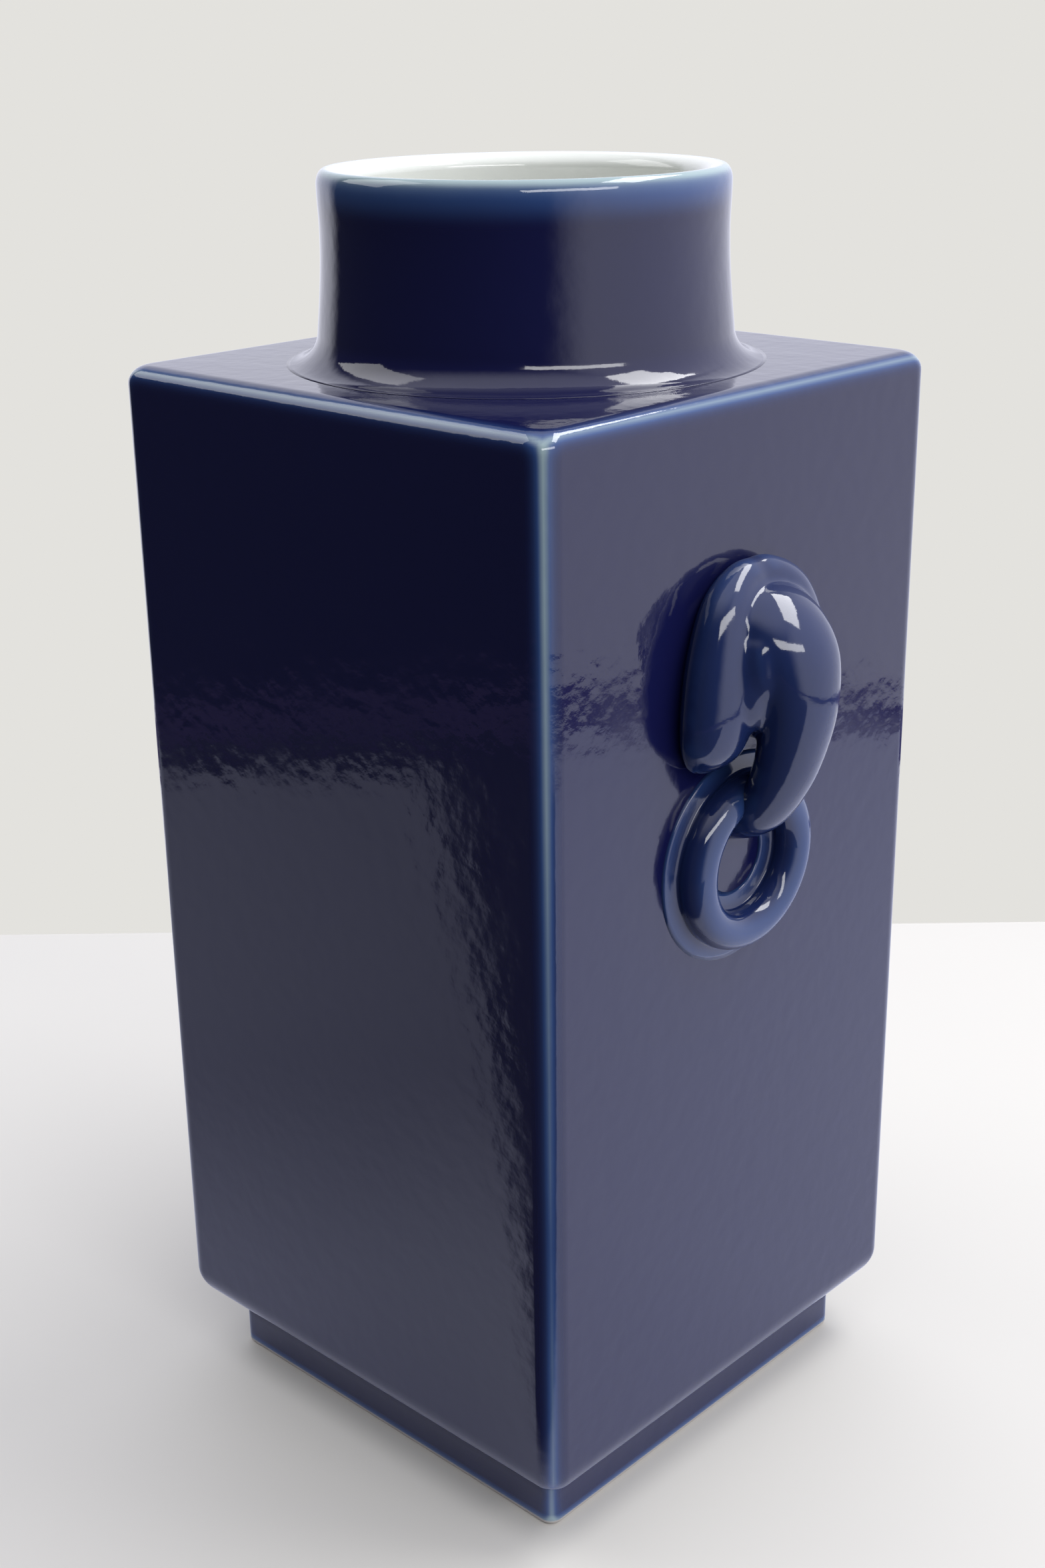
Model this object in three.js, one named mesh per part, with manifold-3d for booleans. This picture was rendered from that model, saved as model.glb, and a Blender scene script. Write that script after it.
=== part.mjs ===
// Square slab-built vase with a round thrown neck and two mask handles that hold fixed rings.
// Millimetres, +Z up. The origin is the centre of the plane that the foot stands on.
import * as THREE from 'three';
import { mergeVertices } from 'three/addons/utils/BufferGeometryUtils.js';
import Module from 'manifold-3d';

const wasm = await Module();
wasm.setup();

// Overall form
const vaseHeight = 290;
const shoulderHeight = 249.8;
const bodyWidth = 125;
const slipGap = 0.3;

// Body slabs
const wallThickness = 7;
const floorThickness = 10;
const shoulderThickness = 7;
const bodyCornerRadius = 5;
const floorEdgeRadius = 8;
const shoulderEdgeRadius = 4;
const seamCoilLeg = 7;

// Foot strips
const footHeight = 14.7;
const footInset = 9;
const footThickness = 8;
const footCornerRadius = 3;

// Neck
const neckBaseRadius = 44.8;
const neckWaistRadius = 42.8;
const neckBoreRadius = 37.5;
const neckFilletRadius = 7;
const neckSpigotRadius = 41;
const rimRadius = 44.7;
const rimCrownRadius = 41.2;
const rimRollHeight = 8;

// Fixed rings
const ringRadius = 16.3;
const ringTubeRadius = 4.3;
const ringCentreHeight = 150.5;
const ringSeatDepth = 0.5;

// Mask handles. Each path point is [out from the wall, across it, above the ring's centre, half width, half depth]
const handleOffset = -4;
const aboveRing = ([out, across, rise, ...radii]) => [out, across, ringCentreHeight + rise, ...radii];
const maskPath = [
  [-6, 0, 55, 12, 7.5],
  [1, 0, 55, 12, 7.5],
  [8.8, 0, 53.3, 11.5, 7.8],
  [14.2, 0, 47.3, 10.5, 8],
  [15.6, 0, 38.5, 9, 7.5],
  [14.4, 0, 30, 8, 7],
  [11.8, 0, 21.5, 7.2, 6.2],
  [7, 0, 13.7, 6.5, 5.5],
  [0, 0, 9.8, 5.8, 5],
  [-6, 0, 9.1, 5.8, 5],
].map(aboveRing);
const headCentre = aboveRing([4, 0, 44.5]);
const headRadii = [11, 12.5, 15.5];
const browCentre = aboveRing([13, 8.2, 51]);
const browRadii = [4.6, 4.2, 3];
const earPath = [
  [2.6, -2, 62.7, 3.2, 3.4],
  [2.8, 4, 62.3, 3.4, 3.6],
  [3.2, 10, 58, 3.8, 4.6],
  [3.6, 13.5, 48.5, 4.2, 5.8],
  [3.8, 15, 38.5, 4.2, 6.4],
  [3.4, 15.6, 30.5, 3.8, 5.8],
  [2.6, 15.4, 26.1, 2.6, 3.6],
  [2, 15.2, 24.5, 1, 1.4],
].map(aboveRing);

// Facets
const cornerSteps = 4;
const neckSegments = 40;
const trunkSteps = 22;
const trunkSides = 16;
const earSteps = 16;
const earSides = 12;

const halfBody = bodyWidth / 2;
const halfFoot = halfBody - footInset;
const floorTop = footHeight + floorThickness;
const shoulderUnderside = shoulderHeight - shoulderThickness;
const wallBase = floorTop + slipGap;
const wallHeight = shoulderUnderside - slipGap - wallBase;

const glaze = () => new THREE.MeshStandardMaterial({ color: 0x2b3266, roughness: 0.12, metalness: 0 });
const paleGlaze = () => new THREE.MeshStandardMaterial({ color: 0x6d82b0, roughness: 0.14, metalness: 0 });
const bareClay = () => new THREE.MeshStandardMaterial({ color: 0xcfc7b8, roughness: 0.75, metalness: 0 });

// A closed mesh with merged corners whose faces point outwards
function closed(geometry) {
  const bare = geometry.clone();
  for (const name of Object.keys(bare.attributes)) {
    if (name !== 'position') bare.deleteAttribute(name);
  }
  const merged = mergeVertices(bare, 1e-4);
  const position = merged.attributes.position;
  const kept = [];
  let volume = 0;
  const corners = [new THREE.Vector3(), new THREE.Vector3(), new THREE.Vector3()];
  for (let i = 0; i < merged.index.count; i += 3) {
    const face = [0, 1, 2].map((k) => merged.index.getX(i + k));
    if (new Set(face).size < 3) continue;
    face.forEach((vertex, k) => corners[k].fromBufferAttribute(position, vertex));
    volume += corners[0].dot(corners[1].clone().cross(corners[2]));
    kept.push(...face);
  }
  if (volume < 0) {
    for (let i = 0; i < kept.length; i += 3) {
      [kept[i + 1], kept[i + 2]] = [kept[i + 2], kept[i + 1]];
    }
  }
  merged.setIndex(kept);
  return merged;
}

function solid(geometry) {
  const mesh = closed(geometry);
  return new wasm.Manifold(new wasm.Mesh({
    numProp: 3,
    vertProperties: new Float32Array(mesh.attributes.position.array),
    triVerts: new Uint32Array(mesh.index.array),
  }));
}

function geometryOf(manifold) {
  const mesh = manifold.getMesh();
  const geometry = new THREE.BufferGeometry();
  geometry.setAttribute('position', new THREE.Float32BufferAttribute(mesh.vertProperties, 3));
  geometry.setIndex(Array.from(mesh.triVerts));
  return geometry;
}

function piece(name, geometry, material) {
  const finished = geometry.clone();
  finished.computeVertexNormals();
  const mesh = new THREE.Mesh(finished, material);
  mesh.name = name;
  return mesh;
}

// A closed skin over rings that all have the same number of points, with a fan over each end
function loft(rings) {
  const sides = rings[0].length;
  const last = rings.length - 1;
  const centre = (ring) => ring.reduce((sum, p) => sum.add(p), new THREE.Vector3()).divideScalar(sides);
  const points = [...rings.flat(), centre(rings[0]), centre(rings[last])];
  const index = [];
  for (let k = 0; k < sides; k += 1) {
    const next = (k + 1) % sides;
    for (let j = 0; j < last; j += 1) {
      const low = j * sides;
      const high = low + sides;
      index.push(low + k, low + next, high + next, low + k, high + next, high + k);
    }
    index.push(rings.length * sides, next, k);
    index.push(rings.length * sides + 1, last * sides + k, last * sides + next);
  }
  const geometry = new THREE.BufferGeometry().setFromPoints(points);
  geometry.setIndex(index);
  return closed(geometry);
}

function roundedSquare(half, radius, z) {
  const ring = [];
  for (let corner = 0; corner < 4; corner += 1) {
    const turn = corner * Math.PI / 2;
    for (let k = 0; k <= cornerSteps; k += 1) {
      const angle = k / cornerSteps * Math.PI / 2;
      const x = half - radius + radius * Math.cos(angle);
      const y = half - radius + radius * Math.sin(angle);
      ring.push(new THREE.Vector3(x, y, z).applyAxisAngle(new THREE.Vector3(0, 0, 1), turn));
    }
  }
  return ring;
}

// A square plate whose bottom and top edges are rounded by their own radii
function squarePlate(half, cornerRadius, bottom, top, bottomRadius, topRadius) {
  const rings = [];
  const edge = (radius, z, side) => {
    for (let k = 0; k <= cornerSteps; k += 1) {
      const angle = (side > 0 ? k : cornerSteps - k) / cornerSteps * Math.PI / 2;
      const inset = radius * (1 - Math.cos(angle));
      const corner = Math.max(cornerRadius - inset, cornerRadius / 3);
      rings.push(roundedSquare(half - inset, corner, z + side * radius * Math.sin(angle)));
    }
  };
  if (bottomRadius > 0) edge(bottomRadius, bottom + bottomRadius, -1);
  else rings.push(roundedSquare(half, cornerRadius, bottom));
  if (topRadius > 0) edge(topRadius, top - topRadius, 1);
  else rings.push(roundedSquare(half, cornerRadius, top));
  return loft(rings);
}

// One side of a square frame, mitred at both ends, its outer face towards +X
function mitredSlab(half, thickness, cornerRadius, height) {
  const mitre = slipGap / Math.SQRT2;
  const endAngle = Math.acos(mitre / (cornerRadius * Math.SQRT2)) - Math.PI / 4;
  const shape = new THREE.Shape();
  const inner = half - thickness;
  const centre = half - cornerRadius;
  shape.moveTo(inner, -(inner - mitre));
  for (const side of [-1, 1]) {
    for (let k = 0; k <= cornerSteps; k += 1) {
      const angle = (side < 0 ? cornerSteps - k : k) / cornerSteps * endAngle;
      shape.lineTo(centre + cornerRadius * Math.cos(angle), side * (centre + cornerRadius * Math.sin(angle)));
    }
  }
  shape.lineTo(inner, inner - mitre);
  shape.closePath();
  return closed(new THREE.ExtrudeGeometry(shape, { depth: height, bevelEnabled: false }));
}

// Strip of clay pressed into an inner corner of the walls, with a hollow face
function seamCoil(height) {
  const shape = new THREE.Shape();
  shape.moveTo(0, 0);
  shape.lineTo(-seamCoilLeg, 0);
  for (let k = 1; k < cornerSteps; k += 1) {
    const angle = k / cornerSteps * Math.PI / 2;
    shape.lineTo(-seamCoilLeg + seamCoilLeg * Math.sin(angle), -seamCoilLeg + seamCoilLeg * Math.cos(angle));
  }
  shape.lineTo(0, -seamCoilLeg);
  shape.closePath();
  return closed(new THREE.ExtrudeGeometry(shape, { depth: height, bevelEnabled: false }));
}

const sides = ['right', 'back', 'left', 'front'];

function addFrame(group, prefix, geometry, base, material) {
  sides.forEach((side, k) => {
    const slab = piece(`${prefix}_${side}`, geometry, material());
    slab.rotation.z = k * Math.PI / 2;
    slab.position.z = base;
    group.add(slab);
  });
}

function addSeamCoils(group) {
  const corner = halfBody - wallThickness - slipGap;
  const geometry = seamCoil(wallHeight);
  for (let k = 0; k < 4; k += 1) {
    const holder = new THREE.Group();
    const coil = piece(`seam_coil_${k + 1}`, geometry, bareClay());
    coil.position.set(corner, corner, wallBase);
    holder.rotation.z = k * Math.PI / 2;
    holder.add(coil);
    group.add(holder);
  }
}

function shoulderSlab() {
  const plate = solid(squarePlate(halfBody, bodyCornerRadius, shoulderUnderside, shoulderHeight, 0, shoulderEdgeRadius));
  const holeRadius = neckSpigotRadius + slipGap;
  const hole = new THREE.CylinderGeometry(holeRadius, holeRadius, shoulderThickness * 3, neckSegments);
  hole.rotateX(Math.PI / 2).translate(0, 0, shoulderUnderside + shoulderThickness / 2);
  return geometryOf(plate.subtract(solid(hole)));
}

// Turned neck: spigot, flange with a hollow fillet, slightly waisted wall and rolled rim
function neck() {
  const flangeBase = shoulderHeight + slipGap;
  const filletTop = flangeBase + neckFilletRadius;
  const rollBase = vaseHeight - rimRollHeight;
  const profile = [
    [neckBoreRadius, shoulderUnderside],
    [neckSpigotRadius, shoulderUnderside],
    [neckSpigotRadius, flangeBase],
    [neckBaseRadius + neckFilletRadius, flangeBase],
  ];
  for (let k = 1; k <= cornerSteps; k += 1) {
    const angle = k / cornerSteps * Math.PI / 2;
    profile.push([
      neckBaseRadius + neckFilletRadius * (1 - Math.sin(angle)),
      filletTop - neckFilletRadius * Math.cos(angle),
    ]);
  }
  for (let k = 1; k <= cornerSteps; k += 1) {
    const t = k / cornerSteps;
    const radius = THREE.MathUtils.lerp(neckBaseRadius, neckWaistRadius, Math.sin(t * Math.PI / 2));
    profile.push([radius, THREE.MathUtils.lerp(filletTop, rollBase, t)]);
  }
  const rollHalf = rimRollHeight / 2;
  const outward = rimRadius - rimCrownRadius;
  const inward = rimCrownRadius - neckBoreRadius;
  const rollSteps = cornerSteps * 2;
  for (let k = 1; k < rollSteps; k += 1) {
    const angle = Math.PI / 2 * (k / cornerSteps - 1);
    const reach = angle > 0 || k > cornerSteps / 2 ? outward : outward * 0.8;
    profile.push([rimCrownRadius + reach * Math.cos(angle), vaseHeight - rollHalf + rollHalf * Math.sin(angle)]);
  }
  for (let k = 0; k <= cornerSteps; k += 1) {
    const angle = k / cornerSteps * Math.PI / 2;
    profile.push([rimCrownRadius - inward * Math.sin(angle), vaseHeight - rollHalf + rollHalf * Math.cos(angle)]);
  }
  profile.push(profile[0]);
  const points = profile.map(([r, z]) => new THREE.Vector2(r, z));
  return closed(new THREE.LatheGeometry(points, neckSegments).rotateX(Math.PI / 2));
}

function ellipsoid(centre, radii) {
  return solid(new THREE.SphereGeometry(1, 16, 10).rotateX(Math.PI / 2).scale(...radii).translate(...centre));
}

// Everything behind the wall's face, less the slip between wall and handle
function wallBlock() {
  const block = new THREE.BoxGeometry(bodyWidth, bodyWidth, vaseHeight);
  block.translate(slipGap - bodyWidth / 2, 0, vaseHeight / 2);
  return solid(block);
}

// A solid of oval sections along a path, grown by a clearance where another piece is cut to fit it
function sweep(path, across, steps, sideCount, grow) {
  const centres = new THREE.CatmullRomCurve3(path.map(([x, y, z]) => new THREE.Vector3(x, y, z)));
  const radii = new THREE.CatmullRomCurve3(path.map(([, , , a, b]) => new THREE.Vector3(a, b, 0)));
  const rings = [];
  for (let j = 0; j <= steps; j += 1) {
    const centre = centres.getPoint(j / steps);
    const radius = radii.getPoint(j / steps);
    const normal = centres.getTangent(j / steps).cross(across).normalize();
    const ring = [];
    for (let k = 0; k < sideCount; k += 1) {
      const angle = k / sideCount * Math.PI * 2;
      const point = centre.clone().addScaledVector(across, (radius.x + grow) * Math.cos(angle));
      ring.push(point.addScaledVector(normal, (radius.y + grow) * Math.sin(angle)));
    }
    rings.push(ring);
  }
  return solid(loft(rings));
}

// Head, brows and trunk in one
function mask(grow) {
  const head = ellipsoid(headCentre, headRadii.map((r) => r + grow));
  let form = sweep(maskPath, new THREE.Vector3(0, 1, 0), trunkSteps, trunkSides, grow).add(head);
  for (const side of [-1, 1]) {
    const [browOut, browAcross, browHeight] = browCentre;
    form = form.add(ellipsoid([browOut, side * browAcross, browHeight], browRadii.map((r) => r + grow)));
  }
  return form;
}

function ringTorus(grow) {
  const torus = new THREE.TorusGeometry(ringRadius, ringTubeRadius + grow, 12, 32);
  torus.rotateY(Math.PI / 2).translate(ringTubeRadius - ringSeatDepth + slipGap, 0, ringCentreHeight);
  return solid(torus);
}

// Drooping lobe beside the head, cut to fit round it and to meet its twin over the crown
function ear(side, maskCut) {
  const path = earPath.map(([out, across, ...rest]) => [out, side * across, ...rest]);
  const lobe = sweep(path, new THREE.Vector3(1, 0, 0), earSteps, earSides, 0);
  const twinSide = new THREE.BoxGeometry(bodyWidth, bodyWidth, vaseHeight);
  twinSide.translate(0, side * (slipGap - bodyWidth) / 2, vaseHeight / 2);
  return geometryOf(lobe.subtract(maskCut).subtract(wallBlock()).subtract(solid(twinSide)));
}

function addHandle(group, side, turn) {
  const holder = new THREE.Group();
  holder.position.set(Math.cos(turn) * halfBody, handleOffset, 0);
  holder.rotation.z = turn;
  const wall = wallBlock();
  const head = mask(0).subtract(ringTorus(slipGap)).subtract(wall);
  const maskCut = mask(slipGap);
  holder.add(piece(`mask_${side}`, geometryOf(head), glaze()));
  holder.add(piece(`ear_${side}_1`, ear(-1, maskCut), glaze()));
  holder.add(piece(`ear_${side}_2`, ear(1, maskCut), glaze()));
  holder.add(piece(`ring_${side}`, geometryOf(ringTorus(0).subtract(wall)), glaze()));
  group.add(holder);
}

const vase = new THREE.Group();
addFrame(vase, 'foot_strip', mitredSlab(halfFoot, footThickness, footCornerRadius, footHeight - slipGap), 0, glaze);
vase.add(piece('floor_slab', squarePlate(halfBody, bodyCornerRadius, footHeight, floorTop, floorEdgeRadius, 0), glaze()));
addFrame(vase, 'wall', mitredSlab(halfBody, wallThickness, bodyCornerRadius, wallHeight), wallBase, glaze);
addSeamCoils(vase);
vase.add(piece('shoulder_slab', shoulderSlab(), glaze()));
vase.add(piece('neck', neck(), paleGlaze()));
addHandle(vase, 'right', 0);
addHandle(vase, 'left', Math.PI);

export default vase;
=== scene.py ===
import bpy
import numpy as np
from mathutils import Matrix, Vector


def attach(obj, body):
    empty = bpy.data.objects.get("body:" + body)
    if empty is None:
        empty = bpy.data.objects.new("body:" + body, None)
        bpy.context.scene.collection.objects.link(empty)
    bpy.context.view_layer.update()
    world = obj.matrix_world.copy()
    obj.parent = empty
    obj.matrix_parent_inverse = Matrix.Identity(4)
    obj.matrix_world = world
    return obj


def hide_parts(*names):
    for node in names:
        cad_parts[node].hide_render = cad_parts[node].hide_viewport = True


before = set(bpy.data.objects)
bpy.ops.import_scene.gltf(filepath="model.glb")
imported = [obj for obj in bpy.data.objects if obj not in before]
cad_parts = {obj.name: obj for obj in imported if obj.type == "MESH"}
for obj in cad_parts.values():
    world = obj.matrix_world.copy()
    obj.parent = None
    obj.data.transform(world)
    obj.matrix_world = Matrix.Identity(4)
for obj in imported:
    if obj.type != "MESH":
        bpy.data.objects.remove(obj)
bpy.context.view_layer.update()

mm = 0.001  # sizes below are in millimetres, meshes in metres


def inMetres(lengths):
    return [length * mm for length in lengths]


# Camera: a pinhole fitted to the outlines of the vase in the photograph

camera = {
    "azimuth": 43.184,   # degrees, 0 looks along +Y
    "distance": 453.98,  # level, from the vase's axis
    "height": 320.88,
    "yaw": -0.2752,      # degrees, to the right of the axis
    "pitch": 20.5246,    # degrees, down
    "roll": -0.8334,     # degrees, right side upwards
    "focalPixels": 3111.24,
    "imageHeight": 2352,
    "sensor": 36.0,
    "clipStart": 10.0,
}


def makeCamera(v):
    # Turned about the upright by azimuth and yaw, then down by the pitch, then about the view by the roll
    azimuth, yaw, pitch, roll = np.radians([v["azimuth"], v["yaw"], v["pitch"], v["roll"]])
    level = np.array([-np.sin(azimuth), np.cos(azimuth), 0.0])
    side = np.array([np.cos(azimuth), np.sin(azimuth), 0.0])
    up = np.array([0.0, 0.0, 1.0])
    flat = level * np.cos(yaw) + side * np.sin(yaw)
    right = np.cross(flat, up)
    forward = flat * np.cos(pitch) - up * np.sin(pitch)
    above = np.cross(right, forward)
    tiltedRight = right * np.cos(roll) + above * np.sin(roll)
    tiltedUp = above * np.cos(roll) - right * np.sin(roll)
    place = -level * v["distance"] * mm + up * v["height"] * mm
    data = bpy.data.cameras.new("camera")
    data.sensor_width = v["sensor"]
    data.lens = v["sensor"] * v["focalPixels"] / v["imageHeight"]
    data.clip_start = v["clipStart"] * mm
    cam = bpy.data.objects.new("camera", data)
    axes = np.stack([tiltedRight, tiltedUp, -forward, place], axis=1)
    cam.matrix_world = Matrix([*axes.tolist(), [0, 0, 0, 1]])
    bpy.context.collection.objects.link(cam)
    bpy.context.scene.camera = cam


# Nodes, in short form

def addNode(tree, kind, **settings):
    node = tree.nodes.new(kind)
    for key, value in settings.items():
        setattr(node, key, value)
    return node


def feed(tree, socket, value):
    # Links another node's output, or sets a plain value
    if isinstance(value, bpy.types.NodeSocket):
        tree.links.new(value, socket)
    else:
        socket.default_value = value


def addMath(tree, operation, *values):
    node = addNode(tree, "ShaderNodeMath", operation=operation)
    for socket, value in zip(node.inputs, values):
        feed(tree, socket, value)
    return node.outputs[0]


def addMix(tree, factor, first, second):
    node = addNode(tree, "ShaderNodeMix", data_type="RGBA")
    for name, value in (("Factor_Float", factor), ("A_Color", first), ("B_Color", second)):
        feed(tree, next(s for s in node.inputs if s.identifier == name), value)
    return next(s for s in node.outputs if s.identifier == "Result_Color")


def addNoise(tree, where, scale, detail):
    node = addNode(tree, "ShaderNodeTexNoise")
    feed(tree, node.inputs["Scale"], scale)
    feed(tree, node.inputs["Detail"], detail)
    feed(tree, node.inputs["Vector"], where)
    return node.outputs["Fac"]


def addRange(tree, value, low, high, first=0.0, second=1.0):
    # Goes smoothly from first to second while the value goes from low to high
    node = addNode(tree, "ShaderNodeMapRange", interpolation_type="SMOOTHSTEP")
    feed(tree, node.inputs["Value"], value)
    for name, number in zip(("From Min", "From Max", "To Min", "To Max"), (low, high, first, second)):
        feed(tree, node.inputs[name], number)
    return node.outputs["Result"]


def addFacing(tree, direction, towards):
    # How far a direction points towards another one, from -1 to 1
    node = addNode(tree, "ShaderNodeVectorMath", operation="DOT_PRODUCT")
    feed(tree, node.inputs[0], direction)
    feed(tree, node.inputs[1], towards)
    return node.outputs["Value"]


# On the edges of the body and foot the pale line is partly thin glaze and partly a painted highlight.
# Glaze: thick glaze is deep cobalt, and where it has run thin over an edge it turns teal and then pale.
# The masks below, from 0 to 1, are stored on the points of each mesh.

maskNames = ("thin", "white", "bare")

glazeEffect = {
    "mottle": (45.0, 4.0),    # noise scale and detail: slow changes of thickness
    "speck": (900.0, 2.0),    # fine pitting
    "ripple": (210.0, 1.0),   # low waves in the surface
    "mottleDepth": 0.22,
    "runRange": (0.0, 0.42),  # thinness over which deep glaze turns teal
    "paleRange": (0.3, 0.92),
    "claySpeck": 0.3,
    "clayShade": (0.3, 0.24, 0.17, 1.0),
    "smearRange": (0.3, 0.7),
    "gloss": (0.045, 0.1),    # roughness of the glaze, least and most
    "bareRoughness": 0.6,
    "speckHeight": 0.16,      # as a share of the ripple's
}

glazeFinish = {
    "ior": 1.62,
    "vesselBump": 0.07,
    "handleBump": 0.06,
}

glazeColours = {
    "Deep": (0.006, 0.007, 0.046, 1.0),
    "Run": (0.03, 0.07, 0.20, 1.0),
    "Pale": (0.32, 0.42, 0.43, 1.0),
    "Lining": (0.72, 0.74, 0.68, 1.0),
    "Clay": (0.60, 0.54, 0.44, 1.0),
}


def makeGlazeGroup(v):
    group = bpy.data.node_groups.new("glazeDepth", "ShaderNodeTree")
    inputs = {"Thin": "Float", "White": "Float", "Bare": "Float", **dict.fromkeys(glazeColours, "Color")}
    outputs = {"Colour": "Color", "Roughness": "Float", "Height": "Float"}
    for way, sockets in (("INPUT", inputs), ("OUTPUT", outputs)):
        for name, kind in sockets.items():
            group.interface.new_socket(name, in_out=way, socket_type="NodeSocket" + kind)
    given = addNode(group, "NodeGroupInput").outputs
    result = addNode(group, "NodeGroupOutput").inputs
    where = addNode(group, "ShaderNodeTexCoord").outputs["Object"]
    mottle = addNoise(group, where, *v["mottle"])
    speck = addNoise(group, where, *v["speck"])
    ripple = addNoise(group, where, *v["ripple"])
    unevenness = addMath(group, "MULTIPLY", addMath(group, "SUBTRACT", mottle, 0.5), v["mottleDepth"])
    thin = addMath(group, "ADD", given["Thin"], addMath(group, "MULTIPLY", unevenness, given["Thin"]))
    running = addMix(group, addRange(group, thin, *v["runRange"]), given["Deep"], given["Run"])
    glazed = addMix(group, addRange(group, thin, *v["paleRange"]), running, given["Pale"])
    lined = addMix(group, given["White"], glazed, given["Lining"])
    clay = addMix(group, addMath(group, "MULTIPLY", speck, v["claySpeck"]), given["Clay"], v["clayShade"])
    feed(group, result["Colour"], addMix(group, given["Bare"], lined, clay))
    smear = addRange(group, mottle, *v["smearRange"], *v["gloss"])
    dull = addMath(group, "MULTIPLY", given["Bare"], v["bareRoughness"])
    feed(group, result["Roughness"], addMath(group, "ADD", smear, dull))
    pits = addMath(group, "MULTIPLY", speck, v["speckHeight"])
    feed(group, result["Height"], addMath(group, "ADD", ripple, pits))
    return group


def makeGlaze(name, group, bumpHeight):
    material = bpy.data.materials.new(name)
    material.use_nodes = True
    tree = material.node_tree
    shader = tree.nodes["Principled BSDF"]
    shader.inputs["IOR"].default_value = glazeFinish["ior"]
    effect = addNode(tree, "ShaderNodeGroup", node_tree=group)
    for key, colour in glazeColours.items():
        effect.inputs[key].default_value = colour
    for mask in maskNames:
        reader = addNode(tree, "ShaderNodeAttribute", attribute_name=mask)
        tree.links.new(reader.outputs["Fac"], effect.inputs[mask.capitalize()])
    bump = addNode(tree, "ShaderNodeBump")
    bump.inputs["Distance"].default_value = bumpHeight * mm
    tree.links.new(effect.outputs["Height"], bump.inputs["Height"])
    tree.links.new(effect.outputs["Colour"], shader.inputs["Base Color"])
    tree.links.new(effect.outputs["Roughness"], shader.inputs["Roughness"])
    tree.links.new(bump.outputs["Normal"], shader.inputs["Normal"])
    return material


# Meshes from grids of points

def setMasks(mesh, masks):
    for name in maskNames:
        values = masks.get(name, np.zeros(len(mesh.vertices)))
        attribute = mesh.attributes.new(name, "FLOAT", "POINT")
        attribute.data.foreach_set("value", np.ascontiguousarray(values, dtype=np.float32))


def gridFaces(rows, columns, wrapRows):
    # Quads of a grid that closes on itself across its columns and, if asked, along its rows
    j = np.arange(rows if wrapRows else rows - 1)[:, None]
    k = np.arange(columns)[None, :]
    low, high = j * columns, (j + 1) % rows * columns
    turn = (k + 1) % columns
    return np.stack([low + k, low + turn, high + turn, high + k], axis=-1).reshape(-1, 4)


def poleFans(rows, columns):
    # Triangles from the first and last rows to the poles, whose points come after the grid's
    k = np.arange(columns)
    turn = (k + 1) % columns
    pole = rows * columns
    lastRow = pole - columns
    lower = np.stack([np.full(columns, pole), turn, k], axis=-1)
    upper = np.stack([np.full(columns, pole + 1), lastRow + k, lastRow + turn], axis=-1)
    return np.concatenate([lower, upper])


def enclosed(points, faces):
    # Six times the volume that the faces enclose; below zero the faces point inwards
    a, b, c = (points[faces[:, i]] for i in (0, 1, 2))
    total = np.einsum("ij,ij->i", a, np.cross(b, c)).sum()
    if faces.shape[1] == 4:
        d = points[faces[:, 3]]
        total += np.einsum("ij,ij->i", a, np.cross(c, d)).sum()
    return total


def makeShell(rings, poles=None):
    # rings is rows x columns x 3; poles are the two end points, or None when the rows close on themselves
    rows, columns = rings.shape[:2]
    points = rings.reshape(-1, 3)
    quads = gridFaces(rows, columns, poles is None)
    fans = np.zeros((0, 3), int)
    if poles is not None:
        points = np.concatenate([points, np.asarray(poles, float)])
        fans = poleFans(rows, columns)
    if enclosed(points, quads) + enclosed(points, fans) < 0:
        quads, fans = quads[:, ::-1], fans[:, ::-1]
    return points, quads, fans


def buildMesh(name, shells):
    mesh = bpy.data.meshes.new(name)
    points, faces, start = [], [], 0
    for shellPoints, quads, fans in shells:
        points.append(shellPoints)
        faces += (quads + start).tolist() + (fans + start).tolist()
        start += len(shellPoints)
    mesh.from_pydata((np.concatenate(points) * mm).tolist(), [], faces)
    mesh.update()
    mesh.shade_smooth()
    return mesh


def addPiece(mesh, material, nodes):
    piece = bpy.data.objects.new(mesh.name, mesh)
    bpy.context.collection.objects.link(piece)
    mesh.materials.append(material)
    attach(piece, "root")
    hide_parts(*nodes)


def arc(radius, start, end, steps):
    # Points on a circle, from one angle to another in degrees
    angle = np.radians(np.linspace(start, end, steps + 1))
    return radius * np.stack([np.cos(angle), np.sin(angle)], axis=-1)


# Body: rounded square sections stacked along a profile, open at the top for the neck

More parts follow.
